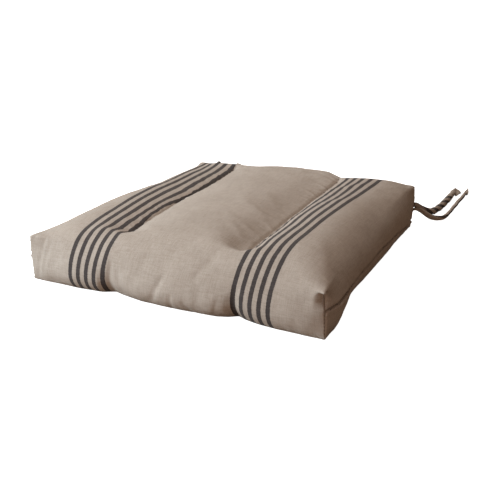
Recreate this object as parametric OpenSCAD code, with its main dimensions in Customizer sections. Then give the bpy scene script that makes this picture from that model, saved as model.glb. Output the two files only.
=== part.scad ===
// Stuffed chair seat pad with a striped cover, two inner dividers and two
// pairs of tie tapes. Millimetres. +Z up, +Y to the back of the seat.
// Origin: the middle of the underside, where the pad rests on the seat.

/* [Pad] */
// Width across the two front corners
front_w = 430; // [380:1:480]
// Width across the two back corners
back_w = 360; // [320:1:430]
// Depth from the front corners to the back corners
depth = 400; // [360:1:440]
// Height of the upright corner seams at the front
corner_h = 60; // [40:1:80]
// Height of the upright seam at the back left corner
corner_h_back_left = 54; // [40:1:80]
// Height of the upright seam at the back right corner
corner_h_back_right = 65; // [40:1:80]
// Height of the crown in the front half
crown_front = 85; // [70:1:110]
// Height of the crown at the back edge
crown_back = 72; // [60:1:100]
// How far the side walls bulge out between the corners
wall_bulge = 8; // [0:0.5:20]
// Distance over which the crown rises from the front, back, left and right edges
front_rise = 84; // [20:1:120]
back_rise = 30; // [20:1:120]
left_rise = 40; // [20:1:120]
right_rise = 80; // [20:1:120]
// How much higher the left edge is, and lower the right one, between corners
left_lift = 5; // [0:0.5:15]
right_roll = 12; // [0:0.5:20]

/* [Fabric] */
// Thickness of the woven cover
cover_t = 1.2; // [0.6:0.1:2]
// Gap between the cover and the filling
fill_gap = 0.4; // [0.2:0.1:1]
// Thickness of the inner divider strips
divider_t = 1; // [0.5:0.1:2]
// Radius of the sewing thread
thread_r = 0.6; // [0.3:0.05:1]

/* [Quilted rows] */
// Distance of the left row from the middle
row_left_x = -103; // [-140:1:-60]
// Distance of the right row from the middle
row_right_x = 74; // [60:1:140]
// Length of each row, front to back
row_len = 320; // [200:5:360]
// How deep the left row pulls the top down
row_left_depth = 14; // [0:0.5:30]
// How deep the right row pulls the top down
row_right_depth = 17; // [0:0.5:30]
// How far both rows pull the underside up
row_under_depth = 10; // [0:0.5:20]
// Spacing of the stitches
stitch_pitch = 10; // [4:1:20]

/* [Ties] */
// Radius of a twisted tie tape
tie_r = 4.6; // [3:0.1:7]
// Height of the upper tie where it leaves the corner seam
tie_upper_z = 37; // [20:1:60]
// Height of the lower tie where it leaves the corner seam
tie_lower_z = 28; // [20:1:60]

/* [Hidden] */
// Grid lines across the pad: their place at the front edge and at the back
// edge. The two rows of stitches lie on lines that run straight back.
gx_front = [-215, -207, -195, -179, -160, -141, -123, -112, -103, -94, -82, -64, -42,
            -16, 10, 33, 52, 65, 74, 83, 95, 112, 132, 154, 176, 194, 207, 215];
gx_back = [-180, -174, -166, -156, -145, -133, -121, -111, -103, -94, -82, -64, -42,
            -16, 10, 33, 52, 65, 74, 83, 94, 108, 123, 139, 154, 167, 175, 180];
// Grid lines from the front edge to the back edge
gy = [-200, -194, -184, -171, -160, -142, -118, -90, -60, -30, 0, 30, 60, 90, 118,
      142, 160, 171, 184, 194, 200];
// Levels of the wall rings, from the bottom edge to the top edge, and how far
// the wall stands out there
wall_q = [0, 0.12, 0.25, 0.42, 0.6, 0.76, 0.9, 1];
wall_profile = [[0, -1], [0.12, -0.15], [0.25, 0.65], [0.42, 1], [0.6, 0.85],
                [0.76, 0.4], [0.9, -0.4], [1, -1.2]];
nu = len(gx_front) - 1;
nv = len(gy) - 1;
nr = len(wall_q) - 1;
np = 2 * (nu + nv);
ng = (nu + 1) * (nv + 1);
hd = depth / 2;
row_y = row_len / 2;

function clamp01(t) = max(0, min(1, t));
function smooth(t) = let (c = clamp01(t)) c * c * (3 - 2 * c);
function rise(d, w) = 1 - pow(1 - clamp01(d / w), 2.2);
function fade(d) = pow(1 - clamp01(d / 45), 2);
function soft(t) = 1 - pow(abs(2 * t - 1), 6);
function bell(t) = exp(-t * t);
function half_w(y) = (front_w / 2) * (hd - y) / depth + (back_w / 2) * (hd + y) / depth;

// Height of the top edge of the wall, from the four corners: a little higher
// on the left side and lower on the right, where the pad rolls over
function edge_h(x, y) =
    let (v = (y + hd) / depth, u = clamp01(0.5 + 0.5 * x / half_w(y)))
    (1 - v) * corner_h + v * ((1 - u) * corner_h_back_left + u * corner_h_back_right)
    + left_lift * soft(v) * pow(clamp01(1 - 2.5 * u), 2)
    - right_roll * soft(v) * pow(clamp01(2.5 * u - 1.5), 2);
// How much higher the back edge stands on the three lobes
function back_lift(x, y) = pow((y + hd) / depth, 5) * lookup(x, [[-180, 1], [-140, 3], [-108, 3.5],
    [-60, 4], [-5, 6], [30, 6], [54, 5], [74, 1.5], [90, 1.5], [119, 2], [151, 3.5], [180, 0]]);
// Height of the pad inside, before the rows of stitches pull it down
function crown_h(x, y) =
    let (g = smooth((y + 40) / 220),
         f = crown_front + 0.035 * x - 0.0001 * x * x,
         b = crown_back + 0.045 * x - 0.00025 * x * x)
    f * (1 - g) + b * g;
function row_on(y) = smooth((y + row_y + 18) / 30) * smooth((row_y + 18 - y) / 30);
function valley(x, y) = row_on(y) * (1 - 0.5 * smooth((y + 40) / 220)) * (row_left_depth * bell((x - row_left_x) / 20)
    + row_right_depth * bell((x - row_right_x) / 20));
function under(x, y) = row_on(y) * row_under_depth
    * (bell((x - row_left_x) / 16) + bell((x - row_right_x) / 16));
function inside(x, y, w) = rise(half_w(y) - abs(x), w) * rise(hd - abs(y), w);
// The crown rises from each edge over its own distance
function top_in(x, y) = rise(half_w(y) - abs(x), x < 0 ? left_rise : right_rise)
    * rise(hd - abs(y), y < 0 ? front_rise : back_rise);
function top_z(x, y) = let (e = edge_h(x, y))
    e + (crown_h(x, y) - valley(x, y) - e) * top_in(x, y) + back_lift(x, y);
function low_z(x, y) = 2.5 + (under(x, y) - 2.5) * inside(x, y, 26);

// A point of the top or the underside, drawn in near the edges
function grid_x(i, y) = let (v = (y + hd) / depth) gx_front[i] * (1 - v) + gx_back[i] * v;
function grid_pt(i, j, pull, e, top) =
    let (y = gy[j], x = grid_x(i, y), h = half_w(y),
         dx = pull * (soft((y + hd) / depth)) * (fade(h + x) - fade(h - x)),
         dy = pull * (soft(0.5 + 0.5 * x / h)) * (fade(hd + y) - fade(hd - y)))
    [(x + dx) * (h - e) / h, (y + dy) * (hd - e) / hd,
     top ? top_z(x, y) - e : low_z(x, y) + e];

// Grid indices of the edge, counter-clockwise from the front left corner
edge_ij = concat([for (i = [0:nu - 1]) [i, 0]], [for (j = [0:nv - 1]) [nu, j]],
                 [for (i = [nu:-1:1]) [i, nv]], [for (j = [nv:-1:1]) [0, j]]);
function edge_normal(ij) = (ij[1] == 0 && ij[0] > 0 && ij[0] < nu) ? [0, -1]
    : (ij[1] == nv && ij[0] > 0 && ij[0] < nu) ? [0, 1] : (ij[0] == nu) ? [1, 0] : [-1, 0];
function edge_soft(ij) = let (y = gy[ij[1]], x = grid_x(ij[0], y))
    (ij[0] == 0 || ij[0] == nu) ? soft((y + hd) / depth) : soft(0.5 + 0.5 * x / half_w(y));
function wall_pt(b, q, e) =
    let (ij = edge_ij[b % np], y = gy[ij[1]], x = grid_x(ij[0], y), h = half_w(y),
         o = wall_bulge * edge_soft(ij) * lookup(q, wall_profile), n = edge_normal(ij),
         lo = low_z(x, y) + e, hi = top_z(x, y) - e)
    [(x + o * n[0]) * (h - e) / h, (y + o * n[1]) * (hd - e) / hd, lo + (hi - lo) * q];

// The closed skin of the pad, e inside its outer face
module pad_skin(e) {
    pts = concat(
        [for (j = [0:nv]) for (i = [0:nu]) grid_pt(i, j, 1.2 * wall_bulge, e, true)],
        [for (j = [0:nv]) for (i = [0:nu]) grid_pt(i, j, wall_bulge, e, false)],
        [for (r = [1:nr - 1]) for (b = [0:np - 1]) wall_pt(b, wall_q[r], e)]);
    function g(i, j) = j * (nu + 1) + i;
    function w(r, b) = let (ij = edge_ij[b % np])
        r == 0 ? ng + g(ij[0], ij[1]) : r == nr ? g(ij[0], ij[1])
        : 2 * ng + (r - 1) * np + (b % np);
    faces = concat(
        [for (j = [0:nv - 1]) for (i = [0:nu - 1]) for (k = [0, 1]) k == 0
            ? [g(i, j), g(i, j + 1), g(i + 1, j + 1)] : [g(i, j), g(i + 1, j + 1), g(i + 1, j)]],
        [for (j = [0:nv - 1]) for (i = [0:nu - 1]) for (k = [0, 1]) k == 0
            ? [ng + g(i, j), ng + g(i + 1, j), ng + g(i + 1, j + 1)]
            : [ng + g(i, j), ng + g(i + 1, j + 1), ng + g(i, j + 1)]],
        [for (r = [0:nr - 1]) for (b = [0:np - 1]) for (k = [0, 1]) k == 0
            ? [w(r, b), w(r + 1, b), w(r + 1, b + 1)] : [w(r, b), w(r + 1, b + 1), w(r, b + 1)]]);
    polyhedron(points = pts, faces = faces, convexity = 6);
}

// Height of the seam round the sides and the back
function seam_z(y) = lookup(y, [[-200, 36], [-160, 36], [-100, 37], [0, 36.5], [80, 31],
    [150, 20], [200, 12]]);
function seam_q(b) = let (p0 = wall_pt(b, 0, 0), p1 = wall_pt(b, 1, 0))
    (seam_z(gy[edge_ij[b % np][1]]) - p0[2]) / (p1[2] - p0[2]);
function seam_pt(b, e) = wall_pt(b, seam_q(b), e);

// A tube along a row of points, with a radius for each, and flat ends
function unit(v) = v / norm(v);
function tangent(p, k) = unit(p[min(k + 1, len(p) - 1)] - p[max(k - 1, 0)]);
module tube(p, r, sides, up = [0, 0, 1]) {
    n = len(p);
    pts = [for (k = [0:n - 1]) let (t = tangent(p, k), a = unit(cross(t, up)), b = cross(t, a),
               rk = is_list(r) ? r[k] : r)
           for (s = [0:sides - 1]) p[k] + rk * (cos(360 * s / sides) * a + sin(360 * s / sides) * b)];
    faces = concat([[for (s = [0:sides - 1]) s]],
        [for (k = [0:n - 2]) for (s = [0:sides - 1]) let (a = k * sides + s,
             b = k * sides + (s + 1) % sides) for (h = [0, 1])
             h == 0 ? [a, a + sides, b + sides] : [a, b + sides, b]],
        [[for (s = [sides - 1:-1:0]) (n - 1) * sides + s]]);
    polyhedron(points = pts, faces = faces, convexity = 6);
}

// A thin slot through the cover, along the seam from the front right corner,
// round the back, to the front left corner
slot_edge = [for (b = [nu + 1:np - 1]) b];
function slot_out(b) = b == nu + nv ? [1, 1, 0] : b == 2 * nu + nv ? [-1, 1, 0]
    : let (m = edge_normal(edge_ij[b % np])) [m[0], m[1], 0];
module seam_slot(half_h) {
    n = len(slot_edge);
    up = [0, 0, half_h];
    pts = [for (k = [0:n - 1]) let (p = seam_pt(slot_edge[k], 0), o = 4 * slot_out(slot_edge[k]))
               each [p + o + up, p + o - up, p - o - up, p - o + up]];
    faces = concat([[0, 1, 2, 3]],
        [for (k = [0:n - 2]) for (s = [0:3]) let (a = 4 * k + s, b = 4 * k + (s + 1) % 4)
            for (h = [0, 1]) h == 0 ? [a, b + 4, b] : [a, a + 4, b + 4]],
        [[for (s = [3:-1:0]) 4 * (n - 1) + s]]);
    polyhedron(points = pts, faces = faces, convexity = 8);
}

corner_xy = [[-front_w / 2, -hd], [front_w / 2, -hd], [back_w / 2, hd], [-back_w / 2, hd]];
corner_top = [corner_h, corner_h, corner_h_back_right, corner_h_back_left];
corner_turn = [-135, -45, 45, 135];
right_edge = [for (b = [nu + 1:nu + nv - 1]) b];
back_edge = [for (b = [nu + nv + 1:2 * nu + nv - 1]) b];
left_edge = [for (b = [2 * nu + nv + 1:np - 1]) b];

// One sheet of striped cloth, folded round the front, its edges meeting along
// the sides and the back
module cover() {
    color([0.67, 0.61, 0.54]) difference() {
        pad_skin(0);
        pad_skin(cover_t);
        seam_slot(0.8);
    }
}

// Loose fibre that fills the cover, slit where the two dividers stand
module filling() {
    color([0.93, 0.92, 0.88]) difference() {
        pad_skin(cover_t + fill_gap);
        for (x = [row_left_x, row_right_x]) translate([x - divider_t / 2 - 0.5, -row_y - 1, -1])
            cube([divider_t + 1, row_len + 2, crown_front + 20]);
    }
}

row_ys = [for (j = [0:nv]) if (abs(gy[j]) <= row_y) gy[j]];
// Woven strip that ties the top to the underside along a row
module divider(x) {
    g = cover_t + 0.3;
    n = len(row_ys);
    pts = [for (k = [0:n - 1]) let (y = row_ys[k], yy = y * (row_y - 0.5) / row_y)
           each [[x - divider_t / 2, yy, low_z(x, y) + g], [x + divider_t / 2, yy, low_z(x, y) + g],
                 [x + divider_t / 2, yy, top_z(x, y) - g], [x - divider_t / 2, yy, top_z(x, y) - g]]];
    faces = concat([[3, 2, 1, 0]],
        [for (k = [0:n - 2]) for (s = [0:3]) let (a = 4 * k + s, b = 4 * k + (s + 1) % 4)
            for (h = [0, 1]) h == 0 ? [a, b, b + 4] : [a, b + 4, a + 4]],
        [[for (s = [0:3]) 4 * (n - 1) + s]]);
    color([0.86, 0.84, 0.78]) polyhedron(points = pts, faces = faces, convexity = 4);
}

// Running stitches that pass in and out of the cover along a row
module row_stitches(x, top) {
    n = floor(row_len / stitch_pitch * 2);
    p = [for (k = [0:n]) let (y = -row_y + k * row_len / n, odd = k % 2,
             z = top ? top_z(x, y) : low_z(x, y), d = top ? 1 : -1)
         [x + 0.01 * k / n, y, z + d * (odd == 0 ? 0.25 : -0.95)]];
    color([0.55, 0.49, 0.43]) tube(p, 0.45, 5);
}

module side_stitches(bs) {
    color([0.45, 0.38, 0.32]) tube([for (b = bs) seam_pt(b, cover_t / 2)], thread_r, 6);
}

module corner_stitches(c) {
    d = [cos(corner_turn[c]), sin(corner_turn[c]), 0];
    top = corner_top[c] - 6;
    color([0.45, 0.38, 0.32]) tube([for (k = [0:5]) [corner_xy[c][0], corner_xy[c][1],
        6 + (top - 6) * k / 5] - 0.4 * d], thread_r, 6, up = d);
}

// Routes of the four tie tapes, from the corner seam out over the seat
right_inner = [[184.5, 204.5, tie_upper_z], [184.8, 212, 33.5], [185.6, 220, 29], [187, 228, 24],
    [188.8, 236, 19], [190.8, 244, 14.5], [192.8, 252, 10.8], [194.6, 260, 8], [196, 269, 6.3],
    [197.4, 280, 5.4], [198.4, 292, 5], [199, 304, 5], [199, 316, 5], [199, 328, 5], [199, 340, 5],
    [199, 352, 5], [198, 364, 5], [198, 376, 5], [198, 388, 5]];
right_outer = [[184.5, 204.5, tie_lower_z], [188, 211, 26.5], [192, 218, 22], [197, 225, 16],
    [202, 231, 10.5], [208, 237, 7], [213, 244, 5.5], [217, 252, 5], [219, 262, 5],
    [219, 274, 5], [219, 287, 5], [218, 300, 5], [218, 313, 5], [217, 326, 5], [217, 339, 5],
    [217, 352, 5], [216, 365, 5], [215, 378, 5], [213, 391, 5], [212, 399, 5]];
left_inner = [[-184.5, 204.5, tie_upper_z], [-183, 212, 36.5], [-180, 220, 34], [-176, 228, 28],
    [-171, 236, 21], [-165, 243, 14], [-158, 250, 9], [-151, 257, 6], [-144, 265, 5],
    [-138, 275, 5], [-134, 286, 5], [-133, 297, 5], [-135, 308, 5], [-140, 318, 5],
    [-148, 327, 5], [-157, 334, 5], [-167, 340, 5], [-177, 346, 5]];
left_outer = [[-184.5, 204.5, tie_lower_z], [-188, 211, 26.5], [-193, 218, 22], [-199, 225, 16],
    [-206, 231, 10.5], [-213, 237, 7], [-220, 244, 5.5], [-226, 252, 5], [-230, 262, 5],
    [-231, 274, 5], [-229, 286, 5], [-225, 297, 5], [-220, 307, 5], [-215, 317, 5],
    [-212, 327, 5], [-212, 337, 5], [-215, 346, 5], [-220, 354, 5]];

module tie(route) {
    n = len(route);
    color([0.5, 0.43, 0.37]) tube(route, [for (k = [0:n - 1]) k == 0 ? 1.4
        : k < n - 1 ? min(tie_r, 2.6 + 0.5 * k) : 3.4], 8);
}

// The line of hem stitches across the end of a tie
module hem(route) {
    n = len(route);
    p = route[n - 2];
    t = unit(route[n - 1] - route[n - 3]);
    a = atan2(t[1], t[0]);
    color([0.3, 0.25, 0.21]) translate([p[0], p[1], p[2] + tie_r - 0.1]) rotate([0, 0, a + 90])
        rotate([0, 90, 0]) cylinder(h = 5, r = 0.4, center = true, $fn = 16);
}

// Bar of close stitches that holds a pair of ties in the corner seam
module tack(c) {
    d = [cos(corner_turn[c]), sin(corner_turn[c])];
    color([0.3, 0.25, 0.21]) translate([corner_xy[c][0] + 0.9 * d[0], corner_xy[c][1] + 0.9 * d[1],
        27]) rotate([0, 0, corner_turn[c]]) translate([-1.2, -2.4, 0]) cube([2.4, 4.8, 21]);
}

module row_stitches_top_left() { row_stitches(row_left_x, true); }
module row_stitches_top_right() { row_stitches(row_right_x, true); }
module row_stitches_under_left() { row_stitches(row_left_x, false); }
module row_stitches_under_right() { row_stitches(row_right_x, false); }
module divider_left() { divider(row_left_x); }
module divider_right() { divider(row_right_x); }
module side_seam_left() { side_stitches(left_edge); }
module side_seam_right() { side_stitches(right_edge); }
module back_seam() { side_stitches(back_edge); }
module corner_seam_front_left() { corner_stitches(0); }
module corner_seam_front_right() { corner_stitches(1); }
module corner_seam_back_right() { corner_stitches(2); }
module corner_seam_back_left() { corner_stitches(3); }
module tie_tack_right() { tack(2); }
module tie_tack_left() { tack(3); }
module tie_right_inner() { tie(right_inner); }
module tie_right_outer() { tie(right_outer); }
module tie_left_inner() { tie(left_inner); }
module tie_left_outer() { tie(left_outer); }
module tie_hem_right_inner() { hem(right_inner); }
module tie_hem_right_outer() { hem(right_outer); }
module tie_hem_left_inner() { hem(left_inner); }
module tie_hem_left_outer() { hem(left_outer); }

cover();
filling();
divider_left();
divider_right();
row_stitches_top_left();
row_stitches_top_right();
row_stitches_under_left();
row_stitches_under_right();
side_seam_left();
side_seam_right();
back_seam();
corner_seam_front_left();
corner_seam_front_right();
corner_seam_back_right();
corner_seam_back_left();
tie_tack_left();
tie_tack_right();
tie_right_inner();
tie_right_outer();
tie_left_inner();
tie_left_outer();
tie_hem_right_inner();
tie_hem_right_outer();
tie_hem_left_inner();
tie_hem_left_outer();
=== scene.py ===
"""Looks for a stuffed chair seat pad: striped cover, stitched rows, corner ties."""

import math

import bpy
import numpy as np
from mathutils import Matrix, Vector
from mathutils.bvhtree import BVHTree


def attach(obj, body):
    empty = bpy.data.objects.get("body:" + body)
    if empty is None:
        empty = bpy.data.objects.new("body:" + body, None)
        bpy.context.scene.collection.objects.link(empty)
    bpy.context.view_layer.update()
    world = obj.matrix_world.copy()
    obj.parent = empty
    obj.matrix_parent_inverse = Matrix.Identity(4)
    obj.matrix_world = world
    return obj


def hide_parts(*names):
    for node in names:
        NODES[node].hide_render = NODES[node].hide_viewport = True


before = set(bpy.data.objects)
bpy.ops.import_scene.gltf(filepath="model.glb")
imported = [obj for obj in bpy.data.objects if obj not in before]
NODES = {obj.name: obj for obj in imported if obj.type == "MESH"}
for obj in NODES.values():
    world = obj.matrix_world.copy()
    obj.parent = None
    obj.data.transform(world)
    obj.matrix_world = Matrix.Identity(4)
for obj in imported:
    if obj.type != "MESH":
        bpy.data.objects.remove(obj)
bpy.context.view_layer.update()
scene = bpy.context.scene

# ---------------------------------------------------------------- camera
cam_data = bpy.data.cameras.new("camera")
cam_data.lens = 93.6
cam_data.sensor_width = 36.0
cam_data.sensor_fit = "HORIZONTAL"
cam_data.clip_start = 0.05
cam_data.clip_end = 60.0
camera = bpy.data.objects.new("camera", cam_data)
scene.collection.objects.link(camera)
_f = Vector((-0.4014, 0.8351, -0.3762)).normalized()
_r = Vector((0.902, 0.4317, -0.0042))
_r = (_r - _f * _r.dot(_f)).normalized()
_u = _r.cross(_f)
camera.matrix_world = Matrix(
    ((_r.x, _u.x, -_f.x, 0.7576), (_r.y, _u.y, -_f.y, -1.5563), (_r.z, _u.z, -_f.z, 0.7089), (0, 0, 0, 1))
)
scene.camera = camera


# ---------------------------------------------------------------- node helpers
class Graph:
    """Short calls for a shader's nodes."""

    def __init__(self, name):
        self.mat = bpy.data.materials.new(name)
        self.mat.use_nodes = True
        self.t = self.mat.node_tree
        self.t.nodes.clear()
        self.out = self.t.nodes.new("ShaderNodeOutputMaterial")
        self.bsdf = self.t.nodes.new("ShaderNodeBsdfPrincipled")
        self.link(self.bsdf.outputs[0], self.out.inputs["Surface"])

    def link(self, a, b):
        self.t.links.new(a, b)

    def put(self, value, socket):
        if hasattr(value, "links"):
            self.link(value, socket)
        else:
            socket.default_value = value

    def math(self, op, a, b=0.0, c=0.0, clamp=False):
        n = self.t.nodes.new("ShaderNodeMath")
        n.operation = op
        n.use_clamp = clamp
        for i, v in enumerate((a, b, c)):
            self.put(v, n.inputs[i])
        return n.outputs[0]

    def ramp(self, v, lo, hi, a=0.0, b=1.0, smooth=True):
        n = self.t.nodes.new("ShaderNodeMapRange")
        n.interpolation_type = "SMOOTHSTEP" if smooth else "LINEAR"
        for i, x in enumerate((v, lo, hi, a, b)):
            self.put(x, n.inputs[i])
        return n.outputs[0]

    def mix(self, f, a, b, blend="MIX"):
        n = self.t.nodes.new("ShaderNodeMix")
        n.data_type = "RGBA"
        n.blend_type = blend
        self.put(f, n.inputs[0])
        for v, s in ((a, n.inputs[6]), (b, n.inputs[7])):
            self.put(v if hasattr(v, "links") else (*v, 1.0)[:4], s)
        return n.outputs[2]

    def uv(self):
        n = self.t.nodes.new("ShaderNodeUVMap")
        n.uv_map = "cloth"
        s = self.t.nodes.new("ShaderNodeSeparateXYZ")
        self.link(n.outputs[0], s.inputs[0])
        return s.outputs[0], s.outputs[1]

    def xyz(self, x, y, z=0.0):
        n = self.t.nodes.new("ShaderNodeCombineXYZ")
        for i, v in enumerate((x, y, z)):
            self.put(v, n.inputs[i])
        return n.outputs[0]

    def noise(self, vec, scale, detail=2.0, rough=0.5, distortion=0.0):
        n = self.t.nodes.new("ShaderNodeTexNoise")
        self.link(vec, n.inputs["Vector"])
        n.inputs["Scale"].default_value = scale
        n.inputs["Detail"].default_value = detail
        n.inputs["Roughness"].default_value = rough
        n.inputs["Distortion"].default_value = distortion
        return n.outputs[0]

    def obj(self):
        n = self.t.nodes.new("ShaderNodeTexCoord")
        return n.outputs["Object"]

    def bump(self, height, strength, distance):
        n = self.t.nodes.new("ShaderNodeBump")
        self.link(height, n.inputs["Height"])
        n.inputs["Strength"].default_value = strength
        n.inputs["Distance"].default_value = distance
        self.link(n.outputs[0], self.bsdf.inputs["Normal"])


def weave(g, u, v, pitch):
    """Plain weave from two sets of threads, u and v in metres: (height, slub, warp mask)."""
    k = 2 * math.pi / pitch
    su = g.math("SINE", g.math("MULTIPLY", u, k))
    sv = g.math("SINE", g.math("MULTIPLY", v, k))
    over = g.math("MULTIPLY", su, sv)  # >0: the lengthwise thread lies on top
    top = g.ramp(over, -0.35, 0.35)
    warp = g.math("POWER", g.math("ABSOLUTE", g.math("SINE", g.math("MULTIPLY", u, k / 2))), 0.6)
    weft = g.math("POWER", g.math("ABSOLUTE", g.math("SINE", g.math("MULTIPLY", v, k / 2))), 0.6)
    h = g.math("ADD", g.math("MULTIPLY", warp, top), g.math("MULTIPLY", weft, g.math("SUBTRACT", 1.0, top)))
    s1 = g.noise(g.xyz(g.math("MULTIPLY", u, 900.0), g.math("MULTIPLY", v, 80.0), 0.3), 1.0, 2.0, 0.6)
    s2 = g.noise(g.xyz(g.math("MULTIPLY", u, 80.0), g.math("MULTIPLY", v, 900.0), 7.7), 1.0, 2.0, 0.6)
    return h, s1, s2, top


LIGHT = (0.512, 0.442, 0.377)
LIGHT_2 = (0.322, 0.265, 0.214)
DARK = (0.040, 0.033, 0.032)
DARK_2 = (0.105, 0.088, 0.080)


def striped_cloth(name, bands, half=3.1e-3, pitch=12.72e-3, count=5):
    """Linen-like cloth. bands: the first stripe's middle of each band, in metres of the woven x."""
    g = Graph(name)
    u, v = g.uv()
    h, s1, s2, top = weave(g, u, v, 1.05e-3)
    p = g.xyz(u, v)
    # threads differ a little in shade, with slubs along both directions
    fleck = g.noise(g.xyz(g.math("MULTIPLY", u, 1500.0), g.math("MULTIPLY", v, 1500.0)), 1.0, 3.0, 0.7)
    cloud = g.noise(p, 14.0, 3.0, 0.55)
    tone = g.math("ADD", g.math("MULTIPLY", g.ramp(s1, 0.3, 0.7), 0.30), g.math("MULTIPLY", g.ramp(s2, 0.3, 0.7), 0.30))
    tone = g.math("ADD", tone, g.math("MULTIPLY", g.ramp(fleck, 0.38, 0.62), 0.55))
    tone = g.math("ADD", tone, g.math("MULTIPLY", g.math("SUBTRACT", cloud, 0.5), 0.5), clamp=True)
    light = g.mix(tone, LIGHT_2, LIGHT)
    # stripes: dark warp threads, crossed by lighter weft
    mask = None
    wob = g.math("MULTIPLY", g.math("SUBTRACT", g.noise(g.xyz(g.math("MULTIPLY", u, 60.0), g.math("MULTIPLY", v, 500.0)), 1.0, 2.0), 0.5), 1.1e-3)
    uu = g.math("ADD", u, wob)
    for first in bands:
        t = g.math("DIVIDE", g.math("SUBTRACT", uu, first), pitch)
        near = g.math("ROUND", t)
        near = g.math("MINIMUM", g.math("MAXIMUM", near, 0.0), float(count - 1))
        d = g.math("MULTIPLY", g.math("ABSOLUTE", g.math("SUBTRACT", t, near)), pitch)
        m = g.ramp(d, half - 0.35e-3, half + 0.35e-3, 1.0, 0.0)
        mask = m if mask is None else g.math("MAXIMUM", mask, m)
    weftshow = g.math("MULTIPLY", g.math("SUBTRACT", 1.0, top), 0.55)
    dtone = g.math("ADD", g.math("MULTIPLY", g.ramp(fleck, 0.4, 0.68), 0.55), g.math("MULTIPLY", weftshow, g.ramp(s2, 0.35, 0.7)), clamp=True)
    dark = g.mix(dtone, DARK, DARK_2)
    col = g.mix(mask, light, dark)
    shade = g.ramp(h, 0.2, 1.0, 0.82, 1.0)
    col = g.mix(1.0, col, g.xyz(shade, shade, shade), "MULTIPLY")
    g.link(col, g.bsdf.inputs["Base Color"])
    rough = g.ramp(tone, 0.0, 1.0, 0.92, 0.8)
    g.link(rough, g.bsdf.inputs["Roughness"])
    g.bsdf.inputs["Specular IOR Level"].default_value = 0.18
    g.bsdf.inputs["Sheen Weight"].default_value = 0.08
    g.bsdf.inputs["Sheen Roughness"].default_value = 0.55
    g.bsdf.inputs["Sheen Tint"].default_value = (0.9, 0.85, 0.8, 1)
    height = g.math("ADD", h, g.math("MULTIPLY", fleck, 0.8))
    height = g.math("ADD", height, g.math("MULTIPLY", g.math("ADD", s1, s2), 0.7))
    g.bump(height, 0.55, 0.00045)
    return g.mat


def plain_material(name, a, b, scale, rough, bump=0.0002, stretch=(1, 1, 1)):
    g = Graph(name)
    m = g.t.nodes.new("ShaderNodeMapping")
    m.inputs["Scale"].default_value = stretch
    g.link(g.obj(), m.inputs["Vector"])
    n = g.noise(m.outputs[0], scale, 4.0, 0.65)
    g.link(g.mix(g.ramp(n, 0.35, 0.65), a, b), g.bsdf.inputs["Base Color"])
    g.bsdf.inputs["Roughness"].default_value = rough
    g.bsdf.inputs["Specular IOR Level"].default_value = 0.2
    g.bump(n, 0.6, bump)
    return g.mat


MAT_COVER = striped_cloth("striped_cloth", (-0.1601, 0.0829))
MAT_FILL = plain_material("fibre_filling", (0.80, 0.79, 0.76), (0.62, 0.60, 0.56), 240.0, 0.95, 0.0008, (1, 1, 3))
MAT_DIVIDER = plain_material("divider_cloth", (0.70, 0.68, 0.62), (0.55, 0.53, 0.47), 700.0, 0.9, 0.0002)
MAT_THREAD = plain_material("sewing_thread", (0.17, 0.135, 0.115), (0.09, 0.07, 0.06), 1500.0, 0.7, 0.0001)


# ---------------------------------------------------------------- pad shape, in millimetres
FRONT_W, BACK_W, DEPTH, HD = 430.0, 360.0, 400.0, 200.0
ROW_L, ROW_R, ROW_Y = -103.0, 74.0, 160.0
BULGE = 8.0


def c01(t):
    return np.clip(t, 0.0, 1.0)


def smooth(t):
    t = c01(t)
    return t * t * (3 - 2 * t)


def rise(d, w):
    return 1 - (1 - c01(d / w)) ** 2.2


def fade(d):
    return c01(1 - d / 45.0) ** 2


def soft(t):
    return 1 - np.abs(2 * t - 1) ** 6


def ridge(t):
    """A soft fold across t, a sharp crest with wider feet."""
    return np.exp(-np.abs(t) ** 1.5)


def bell(t):
    return np.exp(-t * t)


def half_w(y):
    return (FRONT_W / 2) * (HD - y) / DEPTH + (BACK_W / 2) * (HD + y) / DEPTH


def edge_h(x, y):
    v = (y + HD) / DEPTH
    u = c01(0.5 + 0.5 * x / half_w(y))
    base = (1 - v) * 60 + v * ((1 - u) * 54 + u * 65)
    back = np.interp(x, [-180, -120, -60, -5, 30, 50, 75, 90, 138, 180], [0, 1.2, 3.3, 6.8, 6.0, 3.0, -3.8, -2.2, 0.5, 0])
    left = 5.0 * soft(v) * c01(1 - 2.5 * u) ** 2
    right = 1.0 * soft(v) * c01(2.5 * u - 1.5) ** 2
    return base + back * c01(v) ** 4 + left + right


def crown_h(x, y):
    g = smooth((y + 40) / 220)
    f = 85 + 0.035 * x - 0.0001 * x * x
    b = 74 + 0.045 * x - 0.00025 * x * x
    return f * (1 - g) + b * g


def row_on(y):
    return smooth((y + 170) / 34) * smooth((196 - y) / 26)


def dip(dx, left, right, p):
    return np.exp(-((np.abs(dx) / np.where(dx < 0, left, right)) ** p))


def valley(x, y):
    back = 1 - 0.5 * smooth((y + 40) / 220)
    narrow = 2.6 * np.exp(-np.abs(x - ROW_L) / 8.0) + 3.0 * np.exp(-np.abs(x - ROW_R) / 8.0)
    return row_on(y) * (back * (13.2 * dip(x - ROW_L, 36, 30, 1.35) + 15.5 * dip(x - ROW_R, 33, 21, 1.7)) + narrow)


def back_lift(x, y):
    table = [(-180, 1), (-140, 3.2), (-108, 3.2), (-76, 1.2), (-43, 2.6), (21, 2.6), (54, 5.0), (70, 3.0), (86, 1.6), (119, 2.0), (151, 3.8), (180, 0)]
    return c01((y + HD) / DEPTH) ** 5 * np.interp(x, *zip(*table))


def under(x, y):
    on = smooth((y + 178) / 30) * smooth((178 - y) / 30)
    return on * 10 * (bell((x - ROW_L) / 16) + bell((x - ROW_R) / 16))


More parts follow.
